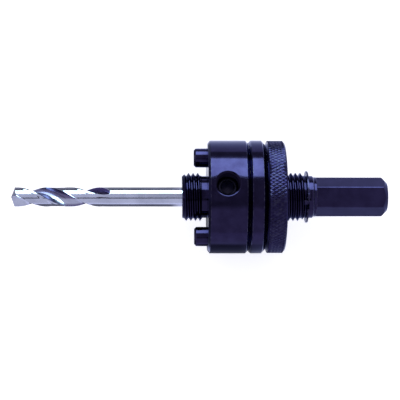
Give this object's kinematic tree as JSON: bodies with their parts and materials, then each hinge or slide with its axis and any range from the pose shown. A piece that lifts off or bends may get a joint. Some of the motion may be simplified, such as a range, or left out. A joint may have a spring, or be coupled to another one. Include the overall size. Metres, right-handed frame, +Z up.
{
  "type": "hole saw arbor",
  "caption": "Blackened steel hole saw arbor with a threaded spigot, drive pins on a sliding plate, a knurled lock nut, a hexagonal shank and a pilot drill.",
  "frame": {"origin": "on the floor under the middle of the tool, which lies on its rims", "axes": "+X along the tool's axis towards the hexagonal shank, with the pilot drill's point towards -X; +Z up through the set screw's hole; +Y across"},
  "size_m": [0.1237, 0.0372, 0.0372],
  "materials": {
    "blackened_steel": "smooth black oxide with a violet cast",
    "pin_steel": "smooth black oxide",
    "clip_steel": "oiled spring steel",
    "ground_steel": "bright ground tool steel"
  },
  "bodies": {
    "arbor": {"arbor_body": "blackened_steel", "pilot_drill": "ground_steel", "retaining_clip": "clip_steel"},
    "pin_plate": {"pin_plate": "blackened_steel", "drive_pin_1": "pin_steel", "drive_pin_2": "pin_steel"},
    "lock_nut": {"lock_nut": "blackened_steel"},
    "set_screw": {"set_screw": "clip_steel"}
  },
  "joints": [
    {"name": "pin_plate_slide", "type": "slide", "parent": "arbor", "child": "pin_plate", "axis": [1, 0, 0], "range_m": [0, 0.006]},
    {"name": "lock_nut_turn", "type": "hinge", "parent": "pin_plate", "child": "lock_nut", "pos_m": [0.02165, 0, 0.01862], "axis": [1, 0, 0], "range_deg": [0, 1440]},
    {"name": "set_screw_travel", "type": "slide", "parent": "arbor", "child": "set_screw", "axis": [0, 0, 1], "range_m": [0, 0.0025]}
  ],
  "couplings": [
    {"joint": "lock_nut_turn", "follows": "pin_plate_slide", "rad_per_m": 4188.8}
  ]
}
